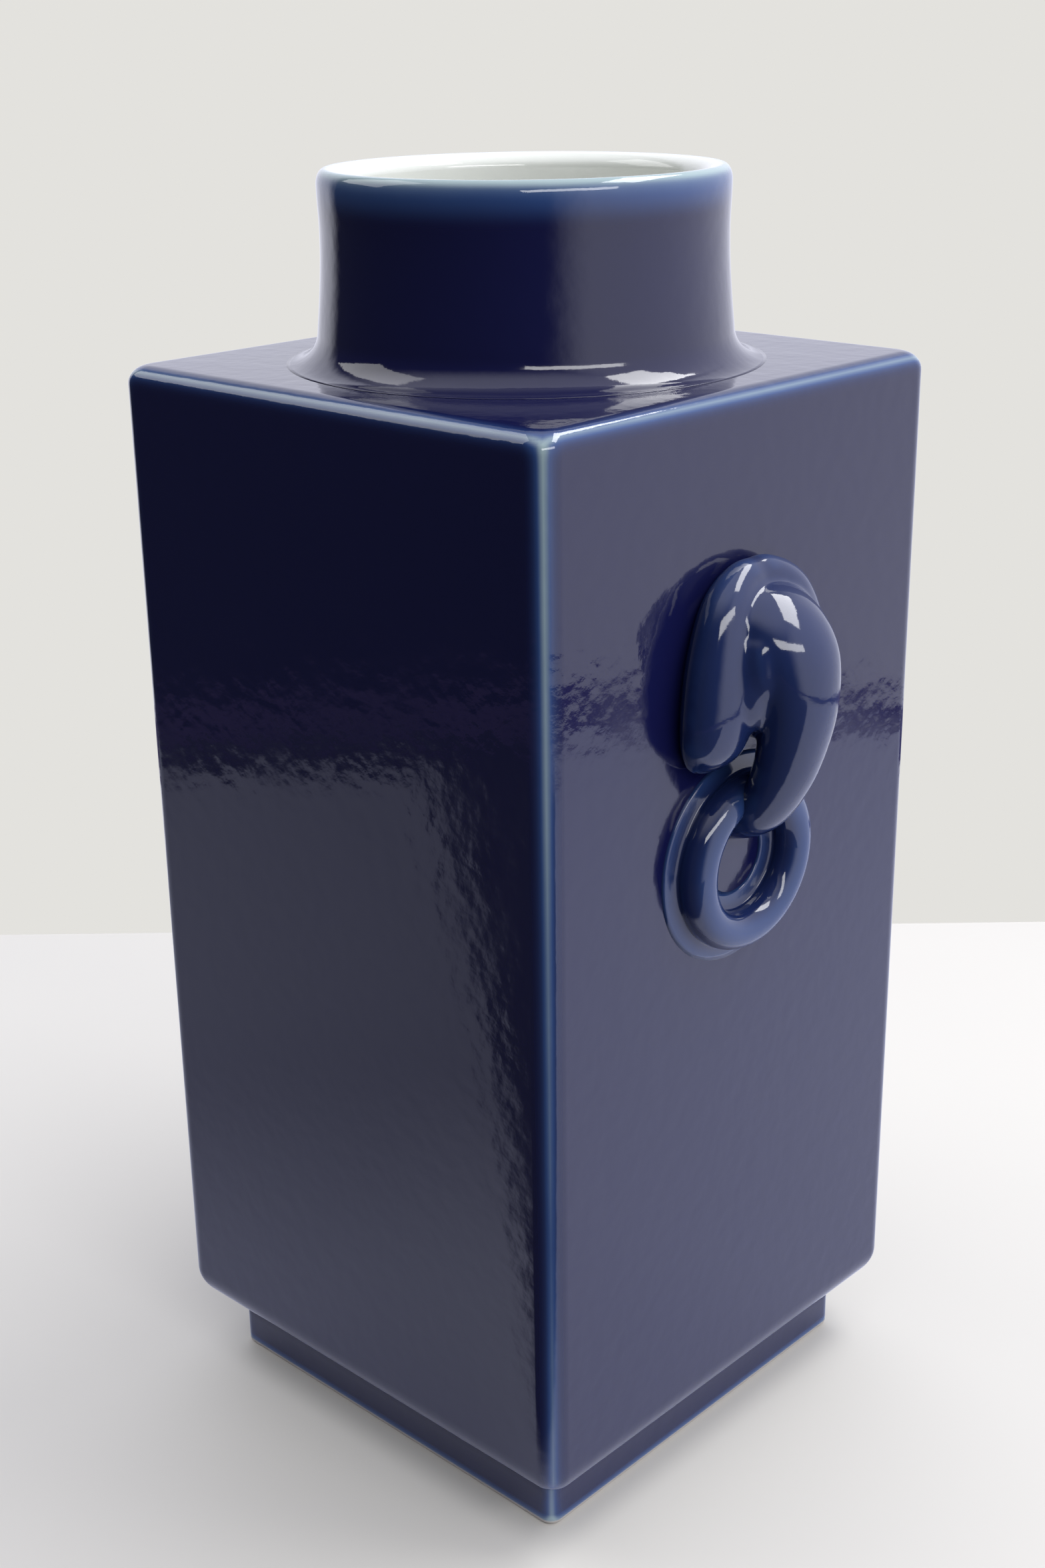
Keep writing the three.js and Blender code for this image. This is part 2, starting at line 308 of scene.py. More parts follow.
body = {
    "half": 62.5,
    "bottom": 14.7,
    "top": 249.8,
    "wall": 7.0,
    "floor": 10.0,
    "shoulder": 7.0,
    "holeRadius": 41.15,
    "cornerRadius": 5.0,      # of the upright edges
    "bottomRadius": 8.0,
    "bottomCorner": 3.0,      # of the section where the bottom's rounding begins
    "bottomSteps": 12,
    "shoulderRadius": 4.0,
    "shoulderCorner": 3.4,    # of the section where the shoulder's rounding ends
    "shoulderSteps": 10,
    "flatCorner": 3.0,
    "baseCorner": 2.0,
    "arcSteps": 12,
    "sideSteps": 30,
    "crowding": 0.7,          # below 1, points along a side crowd further towards the corners
    "edgeRow": 0.6,           # from a sharp edge to the row beside it
    "slack": 0.05,            # for telling which points are inside
    "baseRows": (34.5, 12.5, 4.5, 0.4),      # in from the bottom's rounding
    "lowRows": (0.5, 1.3, 3.3),              # above it
    "middleRows": (40, 80, 120, 160, 200),   # heights
    "highRows": (13.8, 5.8, 2.8, 1.2, 0.4),  # below the shoulder's rounding
    "flatRows": (0.5, 1.5, 3.0, 4.5),        # in from it
    "holeRows": (8.85, 4.85, 0.6, 0.0),      # out from the hole
    "ceilingRow": 6.85,
    "innerRows": (200, 120, 60),             # heights
    "innerEdgeRow": 1.0,
    "floorHalf": 30.0,
}

# Pale lines along the body's edges: partly thin glaze, partly a painted highlight
edgeThinningAndHighlight = {
    "core": 0.9,              # widths, in millimetres
    "halo": 2.6,
    "coreShare": 0.6,
    "haloShare": 0.36,
    "fadeHeight": 70.0,
    "fade": (0.6, 0.42, 0.86),  # share on the upright edges at the bottom, that height and the top
    "shoulder": 0.62,
    "bottom": 0.3,
}

roundedBy = 1 - np.sqrt(0.5)  # how far the middle of a round edge lies in from the sharp one, in radii


def squareRing(half, radius, z, v):
    # A square with round corners: a quarter circle and a straight side, four times over, each a right angle
    # on from the last. Along the side, points follow half a cosine wave, and a power of their distance from
    # its middle moves them further out.
    angle = np.linspace(0, np.pi / 2, v["arcSteps"] + 1)
    along = 0.5 - 0.5 * np.cos(np.linspace(0, np.pi, v["sideSteps"] + 1))[1:-1]
    along = 0.5 + np.sign(along - 0.5) * np.abs(2 * along - 1) ** v["crowding"] / 2
    centre = half - radius
    corner = np.stack([centre + radius * np.cos(angle), centre + radius * np.sin(angle)], axis=-1)
    start, end = corner[-1], np.array([-centre, half])
    quarter = np.concatenate([corner, start + (end - start) * along[:, None]])
    rightAngle = np.array([[0, -1], [1, 0]])
    ring = np.concatenate([quarter @ np.linalg.matrix_power(rightAngle, n).T for n in range(4)])
    return np.column_stack([ring, np.full(len(ring), z)])


def roundRing(radius, z, v):
    # A circle whose points lie in the same directions as those of the square section
    square = squareRing(v["half"], v["cornerRadius"], z, v)
    direction = square[:, :2] / np.linalg.norm(square[:, :2], axis=1)[:, None]
    return np.column_stack([direction * radius, square[:, 2]])


def thinningAndHighlightBeside(distance, v):
    # How pale the line beside an edge is, partly thin glaze and partly a painted highlight: a narrow core
    # in a wider halo, both falling off as a bell curve
    core = v["coreShare"] * np.exp(-(distance / v["core"]) ** 2)
    return core + v["haloShare"] * np.exp(-(distance / v["halo"]) ** 2)


def uprightThinningAndHighlight(points, half, radius):
    # The same beside the four upright edges of a square of round corners
    ridge = half - radius * roundedBy
    x, y = np.abs(points[:, 0]), np.abs(points[:, 1])
    return thinningAndHighlightBeside(np.hypot(ridge - x, ridge - y), edgeThinningAndHighlight)


def bodyMasks(points, v, line):
    out, z = np.abs(points[:, :2]).max(axis=1), points[:, 2]
    high, low = v["shoulderRadius"] * roundedBy, v["bottomRadius"] * roundedBy
    shoulder = np.hypot(v["half"] - high - out, v["top"] - high - z)
    lower = np.hypot(v["half"] - low - out, v["bottom"] + low - z)
    # The pale edge lines, partly thin glaze and partly painted highlight, changing with height on the
    # upright edges
    fade = np.interp(z, [v["bottom"], line["fadeHeight"], v["top"]], line["fade"])
    glow = uprightThinningAndHighlight(points, v["half"], v["cornerRadius"]) * fade
    glow += thinningAndHighlightBeside(shoulder, line) * line["shoulder"] + thinningAndHighlightBeside(lower, line) * line["bottom"]
    belowShoulder = z < v["top"] - v["edgeRow"] + v["slack"]
    aboveFloor = z > v["bottom"] + v["floor"] - v["slack"]
    inside = (out < v["half"] - v["wall"] + v["slack"]) & aboveFloor & belowShoulder
    return {"thin": np.where(inside, 0, np.clip(glow, 0, 1)), "white": inside.astype(float)}


def bodyRings(v):
    # From the underside up the outside, in over the shoulder and through its hole, then down to the floor
    # inside. At a rounding the half width follows a circle's cosine and the height its sine.
    half, corner, step = v["half"], v["cornerRadius"], v["edgeRow"]
    bendBottom, bendTop = v["bottom"] + v["bottomRadius"], v["top"] - v["shoulderRadius"]
    baseHalf, flatHalf = half - v["bottomRadius"], half - v["shoulderRadius"]
    rings = [squareRing(baseHalf - inset, v["baseCorner"], v["bottom"], v) for inset in v["baseRows"]]
    for out, up in arc(v["bottomRadius"], -90, 0, v["bottomSteps"]):
        grown = v["bottomCorner"] + (corner - v["bottomCorner"]) * out / v["bottomRadius"]
        rings.append(squareRing(baseHalf + out, grown, bendBottom + up, v))
    heights = [bendBottom + up for up in v["lowRows"]]
    heights += [*v["middleRows"], *(bendTop - down for down in v["highRows"])]
    rings += [squareRing(half, corner, z, v) for z in heights]
    for out, up in arc(v["shoulderRadius"], 0, 90, v["shoulderSteps"]):
        grown = v["shoulderCorner"] + (corner - v["shoulderCorner"]) * out / v["shoulderRadius"]
        rings.append(squareRing(flatHalf + out, grown, bendTop + up, v))
    rings += [squareRing(flatHalf - inset, v["flatCorner"], v["top"], v) for inset in v["flatRows"]]
    rings += [roundRing(v["holeRadius"] + out, v["top"], v) for out in v["holeRows"]]
    ceiling, floorTop = v["top"] - v["shoulder"], v["bottom"] + v["floor"]
    rings += [roundRing(v["holeRadius"], z, v) for z in (v["top"] - step, ceiling + step, ceiling)]
    rings.append(roundRing(v["holeRadius"] + v["ceilingRow"], ceiling, v))
    inner = half - v["wall"]
    heights = [ceiling - v["innerEdgeRow"], *v["innerRows"], floorTop + v["innerEdgeRow"]]
    rows = [(inner - step, ceiling), *((inner, z) for z in heights)]
    rows += [(inner - step, floorTop), (v["floorHalf"], floorTop)]
    rings += [squareRing(h, v["flatCorner"], z, v) for h, z in rows]
    return np.array(rings)


def makeBody(v, material):
    poles = [(0, 0, v["bottom"]), (0, 0, v["bottom"] + v["floor"])]
    shell = makeShell(bodyRings(v), poles)
    mesh = buildMesh("bodyGlaze", [shell])
    setMasks(mesh, bodyMasks(shell[0], v, edgeThinningAndHighlight))
    nodes = ["floor_slab", "shoulder_slab", "wall_right", "wall_back", "wall_left", "wall_front"]
    addPiece(mesh, material, nodes)


# Foot: a ring of square sections, glazed outside and bare where it stands

foot = {
    "half": 53.5,
    "height": 14.9,      # a little way into the floor slab
    "wall": 8.0,
    "cornerRadius": 3.0,
    "innerCorner": 1.5,
    "edge": 1.1,         # radius of the two edges it stands on
    "edgeSteps": 6,
    "edgeRow": 0.3,
    "highRow": 8.0,
    "lowRow": 3.0,
    "standRow": 3.0,     # in from the sides, where it stands
    "ridgeThinningAndHighlight": 0.6,
    "bareHeight": 1.2,
    "bareBlur": 0.4,
    "rimGlow": 0.5,
    "rimWidth": 1.2,
}


def footProfile(v):
    # Half widths and heights: down the outside, a quarter circle at each standing edge, and up the inside
    half, inner, edge = v["half"], v["half"] - v["wall"], v["edge"]
    profile = [(half, v["height"]), (half, v["highRow"]), (half, v["lowRow"]), (half, edge + v["edgeRow"])]
    profile += [(half - edge + x, edge + y) for x, y in arc(edge, 0, -90, v["edgeSteps"])]
    profile += [(half - v["standRow"], 0.0), (inner + v["standRow"], 0.0)]
    profile += [(inner + edge + x, edge + y) for x, y in arc(edge, -90, -180, v["edgeSteps"])]
    return profile + [(inner, edge + v["edgeRow"]), (inner, v["highRow"]), (inner, v["height"])]


def makeFoot(v, material):
    # Each point of the profile carried round the square, with rounder corners outside than inside
    middle = v["half"] - v["wall"] / 2
    rings = []
    for half, z in footProfile(v):
        corner = v["cornerRadius"] if half > middle else v["innerCorner"]
        rings.append(squareRing(half, corner, z, body))
    shell = makeShell(np.array(rings))
    mesh = buildMesh("footGlaze", [shell])
    # Pale lines on the upright edges, partly thin glaze and partly a painted highlight
    glow = uprightThinningAndHighlight(shell[0], v["half"], v["cornerRadius"]) * v["ridgeThinningAndHighlight"]
    above = shell[0][:, 2] - v["bareHeight"]
    rim = v["rimGlow"] * np.exp(-(above / v["rimWidth"]) ** 2)
    bare = np.clip(0.5 - above / v["bareBlur"], 0, 1)
    setMasks(mesh, {"thin": np.clip(glow + rim, 0, 1), "bare": bare})
    nodes = [f"foot_strip_{side}" for side in ("right", "back", "left", "front")]
    addPiece(mesh, material, nodes)


# Neck: a turned ring with a hollow fillet at its base, a slight waist and a rolled rim

neck = {
    "baseRadius": 44.8,
    "waistRadius": 43.5,
    "boreRadius": 37.5,
    "spigotRadius": 41.0,
    "fillet": 7.0,
    "top": 290.0,
    "rollHeight": 13.0,   # from where the rim begins to swell to the top
    "lipHeight": 3.2,
    "rimRadius": 43.8,
    "crownRadius": 41.9,  # of the lip's highest line
    "lift": 0.02,         # above the shoulder
    "flangeEdge": 0.15,
    "boreRows": (10.0, 22.0, 34.0, 44.0),  # below the top
    "arcSteps": 12,
    "waistSteps": 13,
    "swellSteps": 8,
    "segments": 192,
    "bandHeight": 9.0,    # of the paler glaze under the rim
    "bandBlur": 8.0,
    "bandGlow": 0.5,
    "lipWidth": 1.0,
    "lipGlow": 0.45,
    "boreSlack": 0.1,     # for telling which points are in the bore
    "liningReach": 0.2,   # out from the lip's highest line
    "liningBlur": 1.2,
}


def lipArc(reach, start, end, v):
    # A quarter of an oval about the lip's highest line
    x, y = arc(1.0, start, end, v["arcSteps"]).T
    return list(zip(v["crownRadius"] + reach * x, v["top"] - v["lipHeight"] + v["lipHeight"] * y))


def neckProfile(v):
    # Radii and heights: a quarter circle at the base, a sine in to the waist, half a cosine wave out to the
    # rim, two quarter ovals over the lip, and the straight bore
    base = body["top"] + v["lift"]
    filletTop = base + v["fillet"]
    rollBase = v["top"] - v["rollHeight"]
    lipBase = v["top"] - v["lipHeight"]
    flange = v["baseRadius"] + v["fillet"]
    profile = [(v["spigotRadius"], body["top"]), (flange, body["top"]), (flange - v["flangeEdge"], base)]
    profile += [(flange + x, filletTop + y) for x, y in arc(v["fillet"], -90, -180, v["arcSteps"])]
    t = np.linspace(0, 1, v["waistSteps"] + 1)[1:]
    waisting = v["baseRadius"] + (v["waistRadius"] - v["baseRadius"]) * np.sin(t * np.pi / 2)
    profile += list(zip(waisting, filletTop + (rollBase - filletTop) * t))
    t = np.linspace(0, 1, v["swellSteps"] + 1)[1:-1]
    swelling = v["waistRadius"] + (v["rimRadius"] - v["waistRadius"]) * (0.5 - 0.5 * np.cos(t * np.pi))
    profile += list(zip(swelling, rollBase + (lipBase - rollBase) * t))
    profile += lipArc(v["rimRadius"] - v["crownRadius"], 0, 90, v)
    profile += lipArc(v["crownRadius"] - v["boreRadius"], 90, 180, v)[1:]
    profile += [(v["boreRadius"], v["top"] - down) for down in v["boreRows"]]
    underside = body["top"] - body["shoulder"]
    return np.array(profile + [(v["boreRadius"], underside), (v["spigotRadius"], underside)])


def makeNeck(v, material):
    # The profile turned about the axis
    profile = neckProfile(v)
    turn = np.linspace(0, 2 * np.pi, v["segments"], endpoint=False)
    radius, height = profile[:, 0][:, None], profile[:, 1][:, None]
    rings = np.stack([radius * np.cos(turn), radius * np.sin(turn), height + 0 * turn], axis=-1)
    shell = makeShell(rings)
    mesh = buildMesh("neckGlaze", [shell])
    points = shell[0]
    r, below = np.hypot(points[:, 0], points[:, 1]), v["top"] - points[:, 2]
    lining = np.clip((v["crownRadius"] + v["liningReach"] - r) / v["liningBlur"], 0, 1)
    rim = np.clip((v["bandHeight"] - below) / v["bandBlur"], 0, 1) * v["bandGlow"]
    rim += v["lipGlow"] * np.exp(-(below / v["lipWidth"]) ** 2)
    inBore = r < v["boreRadius"] + v["boreSlack"]
    setMasks(mesh, {"thin": np.where(inBore, 0, rim), "white": lining})
    addPiece(mesh, material, ["neck"])


# Handles: head, trunk, cheeks, brows and ears flow together under the glaze

handle = {
    "wall": body["half"],
    "offset": -4.0,  # along y, on both sides
    "trunk": [  # each point is out from the wall, across it, height, half width, half depth
        (-6, 0, 205.5, 12, 7.5),
        (1, 0, 205.5, 12, 7.5),
        (8.8, 0, 203.8, 11.5, 7.8),
        (14.2, 0, 197.8, 10.5, 8),
        (15.6, 0, 189, 9, 7.5),
        (14.4, 0, 180.5, 8, 7),
        (11.8, 0, 172, 7.2, 6.2),
        (7, 0, 164.2, 6.5, 5.5),
        (0, 0, 160.3, 5.8, 5),
        (-6, 0, 159.6, 5.8, 5),
    ],
    "trunkGrid": (90, 40),  # steps along the path and points round it
    "ear": [  # each point is out, across, height, half depth, half width
        (3, -2, 213, 3.5, 3.6),
        (3.4, 4, 212.6, 4, 4.2),
        (4.2, 9.5, 207.5, 5.4, 6.2),
        (4.8, 11.8, 198, 6.6, 8.2),
        (5, 13, 188, 6.8, 8.8),
        (4.6, 14.2, 180.5, 5.8, 7.6),
        (3.2, 14.8, 176.4, 3.6, 4.6),
        (2, 15, 174.6, 1.2, 1.8),
    ],
    "earGrid": (70, 32),
    "head": ((5, 0, 195), (11.5, 13, 15.5)),  # centre and radii
    "cheek": ((7.6, 8.6, 194.5), (7.4, 6.4, 12)),
    "brow": ((11.2, 8.0, 197), (5.6, 5.2, 8.5)),
    "ovalGrid": (25, 40),  # bands from pole to pole and points round each
    "voxel": 0.55,
    "smoothing": 16,
    "smoothFactor": 0.5,
    "proudRounds": 4,
    "proudFrom": 0.01,  # where the glaze begins to thin, and over how much more
    "proudOver": 0.03,
    "glow": (0.14, 0.28),  # all over, and more where the form stands proud
}


def curveThrough(points, steps):
    # A smooth curve through the points: on each span, the cubic whose slope at each end is half the step
    # between the points on either side of that end
    p = np.array(points, float)
    p = np.concatenate([[2 * p[0] - p[1]], p, [2 * p[-1] - p[-2]]])
    place = np.linspace(0, len(points) - 1, steps + 1)
    i = np.minimum(place.astype(int), len(points) - 2)
    t = (place - i)[:, None]
    a, b, c, d = p[i], p[i + 1], p[i + 2], p[i + 3]
    squared, cubed = 2 * a - 5 * b + 4 * c - d, 3 * b - 3 * c + d - a
    return 0.5 * (2 * b + (c - a) * t + squared * t ** 2 + cubed * t ** 3)


def sweptShell(path, across, steps, sides):
    # Oval sections along a path: across is one axis of each oval, and the other is square to it and to the
    # path. A cosine goes along the one and a sine along the other.
    samples = curveThrough(path, steps)
    centre, radii = samples[:, :3], samples[:, 3:]
    tangent = np.gradient(centre, axis=0)
    normal = np.cross(tangent, across)
    normal /= np.linalg.norm(normal, axis=1)[:, None]
    angle = np.linspace(0, 2 * np.pi, sides, endpoint=False)[None, :, None]
    rings = (centre[:, None] + np.asarray(across, float) * radii[:, None, :1] * np.cos(angle)
             + normal[:, None] * radii[:, None, 1:] * np.sin(angle))
    return makeShell(rings, [centre[0], centre[-1]])


def ovalShell(centre, radii, bands, sides):
    # A sphere by latitude and longitude, stretched to three radii
    latitude = np.linspace(-np.pi / 2, np.pi / 2, bands + 1)[1:-1, None]
    longitude = np.linspace(0, 2 * np.pi, sides, endpoint=False)[None, :]
    x, y = np.cos(latitude) * np.cos(longitude), np.cos(latitude) * np.sin(longitude)
    unit = np.stack([x, y, np.sin(latitude) + 0 * longitude], axis=-1)
    ends = np.array([(0, 0, -1), (0, 0, 1)])
    return makeShell(unit * radii + centre, ends * radii + centre)


def onWall(points, v, turned):
    # From a handle's own axes, out from the wall and across it, to the vase's
    sign = -1 if turned else 1
    out, across, z = points.T
    return np.stack([sign * (v["wall"] + out), v["offset"] + sign * across, z], axis=-1)


def maskShells(v):
    shells = [sweptShell(v["trunk"], (0, 1, 0), *v["trunkGrid"]), ovalShell(*v["head"], *v["ovalGrid"])]
    for side in (-1, 1):
        for lump in ("cheek", "brow"):
            centre, radii = v[lump]
            shells.append(ovalShell(np.array(centre) * (1, side, 1), radii, *v["ovalGrid"]))
        path = [(out, side * across, *rest) for out, across, *rest in v["ear"]]
        shells.append(sweptShell(path, (1, 0, 0), *v["earGrid"]))
    return shells


def meltTogether(name, shells, v):
    # Voxels join the shells into one skin, and smoothing rounds it as melted glaze does
    rough = bpy.data.objects.new(name + "Rough", buildMesh(name + "Rough", shells))
    bpy.context.collection.objects.link(rough)
    remesh = rough.modifiers.new("remesh", "REMESH")
    remesh.mode = "VOXEL"
    remesh.voxel_size = v["voxel"] * mm
    smooth = rough.modifiers.new("smooth", "SMOOTH")
    smooth.factor = v["smoothFactor"]
    smooth.iterations = v["smoothing"]
    ready = rough.evaluated_get(bpy.context.evaluated_depsgraph_get())
    mesh = bpy.data.meshes.new_from_object(ready)
    mesh.name = name
    bpy.data.objects.remove(rough)
    mesh.shade_smooth()
    return mesh


def standingProud(mesh, rounds):
    # How far each point stands proud of the middle of its neighbours, in millimetres. Each round evens it
    # out, as the mean of a point's own value and its neighbours' mean.
    count = len(mesh.vertices)
    points = np.empty(count * 3, np.float32)
    normals = np.empty(count * 3, np.float32)
    edges = np.empty(len(mesh.edges) * 2, np.int32)
    mesh.vertices.foreach_get("co", points)
    mesh.vertex_normals.foreach_get("vector", normals)
    mesh.edges.foreach_get("vertices", edges)
    points, normals, edges = points.reshape(-1, 3), normals.reshape(-1, 3), edges.reshape(-1, 2)
    degree = np.maximum(np.bincount(edges.ravel(), minlength=count), 1)

    def neighbourMean(values):
        total = np.zeros_like(values)
        np.add.at(total, edges[:, 0], values[edges[:, 1]])
        np.add.at(total, edges[:, 1], values[edges[:, 0]])
        return total / (degree[:, None] if values.ndim > 1 else degree)

    proud = np.einsum("ij,ij->i", points - neighbourMean(points), normals) / mm
    for _ in range(rounds):
        proud = 0.5 * proud + 0.5 * neighbourMean(proud)
    return proud


def makeMasks(v, material):
    low, more = v["glow"]
    for side in ("right", "left"):
        shells = [(onWall(points, v, side == "left"), *faces) for points, *faces in maskShells(v)]
        mesh = meltTogether(f"maskGlaze_{side}", shells, v)
        proud = (standingProud(mesh, v["proudRounds"]) - v["proudFrom"]) / v["proudOver"]
        setMasks(mesh, {"thin": low + more * np.clip(proud, 0, 1)})
        nodes = [f"mask_{side}", f"ear_{side}_1", f"ear_{side}_2"]
        addPiece(mesh, material, nodes)


# Rings: a round tube bent in a circle whose back runs into the wall in a fillet of glaze

ring = {
    "radius": 16.3,
    "tube": 4.3,
    "height": 151.2,
    "squash": 0.96,     # the ring's height as a share of its width
    "seat": 3.0,        # from the wall to the middle of the tube
    "flare": 3.6,       # how far the fillet spreads over the wall
    "sink": 0.2,        # into the wall
    "hollow": (0.1, 0.5),       # what the fillet bends towards: out past the tube, and above the wall
    "tubeArc": (-25, 205, 30),  # degrees from and to, and steps
    "flareSteps": 5,
    "segments": 128,
    "glow": 0.12,
    "crestGlow": 0.14,
    "crestWidth": 1.3,
    "footGlow": 0.12,
    "footWidth": 0.5,
    "footHeight": 0.1,
}


def ringSection(v):
    # Most of a circle; towards the wall each side turns out again in a curve of the second degree
    top = arc(v["tube"], *v["tubeArc"]) + np.array([0, v["seat"]])
    t = np.linspace(0, 1, v["flareSteps"] + 1)[1:, None]
    out, up = v["hollow"]
    feet = []
    for side, end in ((-1, top[-1]), (1, top[0])):
        foot = np.array([side * (v["tube"] + v["flare"]), 0.0])
        hollow = np.array([side * (v["tube"] + out), up])
        feet.append((1 - t) ** 2 * end + 2 * t * (1 - t) * hollow + t ** 2 * foot)
    back = np.array([[-v["tube"], -v["sink"]], [v["tube"], -v["sink"]]])
    return np.concatenate([top, feet[0], back, feet[1][::-1]])


def makeRings(v, material):
    # The section turned about the ring's own axis, a little less high than wide
    across, out = ringSection(v).T
    turn = np.linspace(0, 2 * np.pi, v["segments"], endpoint=False)[:, None]
    radius = v["radius"] + across
    height = v["height"] + radius * v["squash"] * np.sin(turn)
    rings = np.stack([out + 0 * turn, radius * np.cos(turn), height], axis=-1)
    crest = v["crestGlow"] * np.exp(-((out - v["seat"] - v["tube"]) / v["crestWidth"]) ** 2)
    footLine = v["footGlow"] * np.exp(-((out - v["footHeight"]) / v["footWidth"]) ** 2)
    thin = np.tile(v["glow"] + crest + footLine, len(turn))
    for side in ("right", "left"):
        placed = onWall(rings.reshape(-1, 3), handle, side == "left")
        mesh = buildMesh(f"ringGlaze_{side}", [makeShell(placed.reshape(rings.shape))])
        setMasks(mesh, {"thin": thin})
        addPiece(mesh, material, [f"ring_{side}"])


# Inner seam coils keep their solids under a white glaze

lining = {
    "shade": (0.62, 0.62, 0.55, 1),
    "colour": (0.75, 0.77, 0.72, 1),
    "cloud": (60.0, 4.0),  # noise scale and detail
    "cloudRange": (0.2, 0.8),
    "gloss": (0.1, 0.25),
}


def makeLining(v):
    material = bpy.data.materials.new("liningGlaze")
    material.use_nodes = True
    tree = material.node_tree
    shader = tree.nodes["Principled BSDF"]
    where = addNode(tree, "ShaderNodeTexCoord").outputs["Object"]
    cloud = addNoise(tree, where, *v["cloud"])
    feed(tree, shader.inputs["Base Color"], addMix(tree, cloud, v["shade"], v["colour"]))
    feed(tree, shader.inputs["Roughness"], addRange(tree, cloud, *v["cloudRange"], *v["gloss"]))
    for name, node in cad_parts.items():
        if name.startswith("seam_coil"):
            node.data.materials.clear()
            node.data.materials.append(material)


# Stage: a pale table that ends behind the vase, a room with a dim side, and soft lamps.
# The glossy walls mirror both, so what they see is toned apart from what the camera sees, with painted
# shade on the mirrored table.

stage = {
    "tableRadius": 560.0,
    "tableBack": 250.0,
    "tableSegments": 240,
    "tableRoughness": 0.6,
    "tableColour": (0.72, 0.70, 0.64, 1.0),
    "tableShade": (0.69, 0.675, 0.62, 1),
    "tableCloud": (8.0, 3.0),
    # The table as the walls mirror it, with painted shade: a dim side, a dark far end and a dark band
    "mirroredColour": (0.72, 0.74, 0.86, 1.0),
    "paintedShadeColour": (0.03, 0.03, 0.035, 1.0),
    "frontFacing": (0.684, 0.729),           # level, against the view as the front wall mirrors it
    "paintedShadeFrom": (-524.2, -504.2),            # painted shade at the table's far end, measured that way
    "shadowBandCurve": (-0.3533, 0.9704, 0.1243),  # the side of the painted shadow band, as addMirroredTable says
    "bandBlur": (-6.0, 8.0),
    "shadowBandEnd": (-105.0, -85.0),
    "paintedDimRange": (-350.0, -100.0),            # of x + y, where painted shade dims the mirrored table
    "paintedDimShare": 0.54,
    "backColour": (0.77, 0.76, 0.73, 1.0),
    "dimColour": (0.035, 0.037, 0.045, 1.0),
    "roomColour": (0.90, 0.91, 1.04, 1.0),
    "roomStrength": 1.15,
    "brightSide": (0.72, 0.69, 0.0),
    "sideRange": (0.15, 0.6),
    "brightBack": (-0.684, 0.729, 0.0),
    "backRange": (0.55, 0.75),
    "highRange": (0.5, 0.95),
    "seamHeight": -0.325,                    # of the thin painted shade line where the table ends in the mirrored room
    "seamRange": (0.008, 0.02),
    "seamShadeColour": (0.1, 0.08, 0.16, 1),
}


def tableMesh(v):
    # A disc cut off straight behind the vase: what lies past the cut is moved back onto it
    turn = np.linspace(0, 2 * np.pi, v["tableSegments"], endpoint=False)
    circle = v["tableRadius"] * np.stack([np.cos(turn), np.sin(turn)], axis=-1)
    azimuth = np.radians(camera["azimuth"])
    away = np.array([-np.sin(azimuth), np.cos(azimuth)])
    circle -= np.maximum(circle @ away - v["tableBack"], 0)[:, None] * away
    corners = np.column_stack([circle, np.zeros(len(circle))]) * mm
    mesh = bpy.data.meshes.new("table")
    mesh.from_pydata(corners.tolist(), [], [list(range(len(corners)))])
    return mesh


def addMirroredTable(tree, where, v):
    # The table that the walls mirror, with painted shade: dimmer where x + y is low, and dark at its far
    # end and in a painted shadow band beside the front edge. The band's side is the curve x = bend y y +
    # slope y + start, in metres.
    parts = addNode(tree, "ShaderNodeSeparateXYZ")
    feed(tree, parts.inputs[0], where)
    x, y = parts.outputs["X"], parts.outputs["Y"]
    alongX, alongY = v["frontFacing"]
    acrossX, acrossY = addMath(tree, "MULTIPLY", x, alongX), addMath(tree, "MULTIPLY", y, alongY)
    facing = addMath(tree, "ADD", acrossX, acrossY)
    paintedFarShade = addRange(tree, facing, *inMetres(v["paintedShadeFrom"]), 1.0, 0.0)
    bend, slope, start = v["shadowBandCurve"]
    side = addMath(tree, "ADD", addMath(tree, "MULTIPLY", y, bend), slope)
    side = addMath(tree, "ADD", addMath(tree, "MULTIPLY", side, y), start)
    pastSide = addRange(tree, addMath(tree, "SUBTRACT", x, side), *inMetres(v["bandBlur"]))
    inFront = addRange(tree, y, *inMetres(v["shadowBandEnd"]), 1.0, 0.0)
    band = addMath(tree, "MULTIPLY", pastSide, inFront)
    dim = addRange(tree, addMath(tree, "ADD", x, y), *inMetres(v["paintedDimRange"]), v["paintedDimShare"], 0.0)
    paintedDimmed = addMix(tree, dim, v["mirroredColour"], v["paintedShadeColour"])
    return addMix(tree, addMath(tree, "MAXIMUM", paintedFarShade, band), paintedDimmed, v["paintedShadeColour"])


def makeTable(v):
    mesh = tableMesh(v)
    table = bpy.data.objects.new("table", mesh)
    bpy.context.collection.objects.link(table)
    material = bpy.data.materials.new("paleTable")
    material.use_nodes = True
    tree = material.node_tree
    shader = tree.nodes["Principled BSDF"]
    shader.inputs["Roughness"].default_value = v["tableRoughness"]
    where = addNode(tree, "ShaderNodeTexCoord").outputs["Object"]
    seen = addMix(tree, addNoise(tree, where, *v["tableCloud"]), v["tableColour"], v["tableShade"])
    ray = addNode(tree, "ShaderNodeLightPath").outputs["Is Camera Ray"]
    # Camera rays see the table's own colour; the walls mirror it with painted shade
    mirrored = addMirroredTable(tree, where, v)
    feed(tree, shader.inputs["Base Color"], addMix(tree, ray, mirrored, seen))
    mesh.materials.append(material)


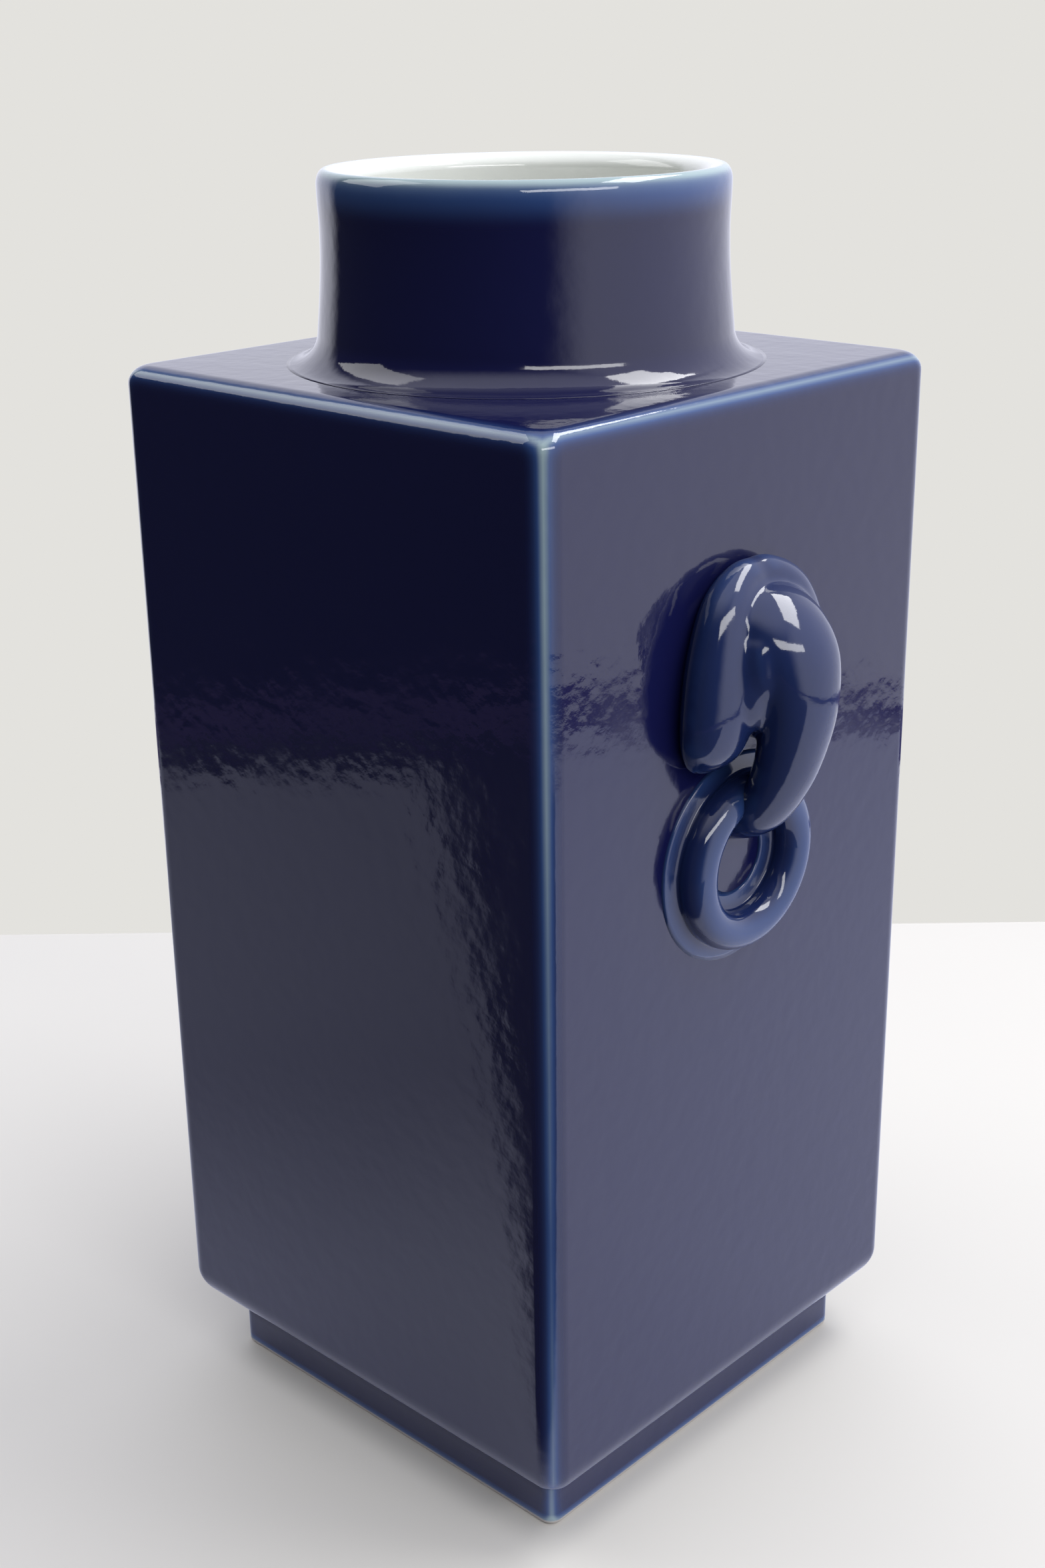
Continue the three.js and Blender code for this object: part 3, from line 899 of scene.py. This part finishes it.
def makeWorld(v):
    world = bpy.data.worlds.new("room")
    bpy.context.scene.world = world
    world.use_nodes = True
    tree = world.node_tree
    shade = tree.nodes["Background"]
    direction = addNode(tree, "ShaderNodeTexCoord").outputs["Generated"]
    parts = addNode(tree, "ShaderNodeSeparateXYZ")
    feed(tree, parts.inputs[0], direction)
    height = parts.outputs["Z"]
    side = addRange(tree, addFacing(tree, direction, v["brightSide"]), *v["sideRange"])
    back = addRange(tree, addFacing(tree, direction, v["brightBack"]), *v["backRange"])
    high = addRange(tree, height, *v["highRange"])
    lit = addMath(tree, "MAXIMUM", addMath(tree, "MAXIMUM", side, back), high)
    room = addMix(tree, lit, v["dimColour"], v["roomColour"])
    # Reflections see a painted shade line in the room where the table ends
    fromSeam = addMath(tree, "ABSOLUTE", addMath(tree, "SUBTRACT", height, v["seamHeight"]))
    mirrored = addMix(tree, addRange(tree, fromSeam, *v["seamRange"]), v["seamShadeColour"], room)
    ray = addNode(tree, "ShaderNodeLightPath").outputs["Is Camera Ray"]
    feed(tree, shade.inputs["Color"], addMix(tree, ray, mirrored, v["backColour"]))
    less = addMath(tree, "MULTIPLY", ray, 1 - v["roomStrength"])
    feed(tree, shade.inputs["Strength"], addMath(tree, "ADD", less, v["roomStrength"]))


lamps = {
    # name: (place, aimed at, width, depth, watts)
    "overhead": ((260, 380, 900), (0, 0, 60), 700, 260, 4.4),
    "window": ((700, -260, 620), (0, 0, 180), 760, 150, 2.2),
    "fill": ((-560, -300, 760), (0, 0, 100), 520, 520, 1.7),
}


def makeLamps(v):
    for name, (place, target, width, depth, watts) in v.items():
        data = bpy.data.lights.new(name, "AREA")
        data.shape = "RECTANGLE"
        data.size, data.size_y, data.energy = width * mm, depth * mm, watts
        lamp = bpy.data.objects.new(name, data)
        start, end = Vector(place) * mm, Vector(target) * mm
        lamp.location = start
        lamp.rotation_euler = (end - start).to_track_quat("-Z", "Y").to_euler()
        bpy.context.collection.objects.link(lamp)


makeCamera(camera)
print("camera placed")
glazeDepth = makeGlazeGroup(glazeEffect)
makeBody(body, makeGlaze("bodyCobalt", glazeDepth, glazeFinish["vesselBump"]))
makeFoot(foot, makeGlaze("footCobalt", glazeDepth, glazeFinish["vesselBump"]))
print("body and foot made")
makeNeck(neck, makeGlaze("neckCobalt", glazeDepth, glazeFinish["vesselBump"]))
print("neck made")
handleGlaze = makeGlaze("handleCobalt", glazeDepth, glazeFinish["handleBump"])
makeMasks(handle, handleGlaze)
makeRings(ring, handleGlaze)
print("handles made")
makeLining(lining)
makeTable(stage)
makeWorld(stage)
makeLamps(lamps)
print("stage set")

bpy.context.scene.view_settings.view_transform = "Standard"
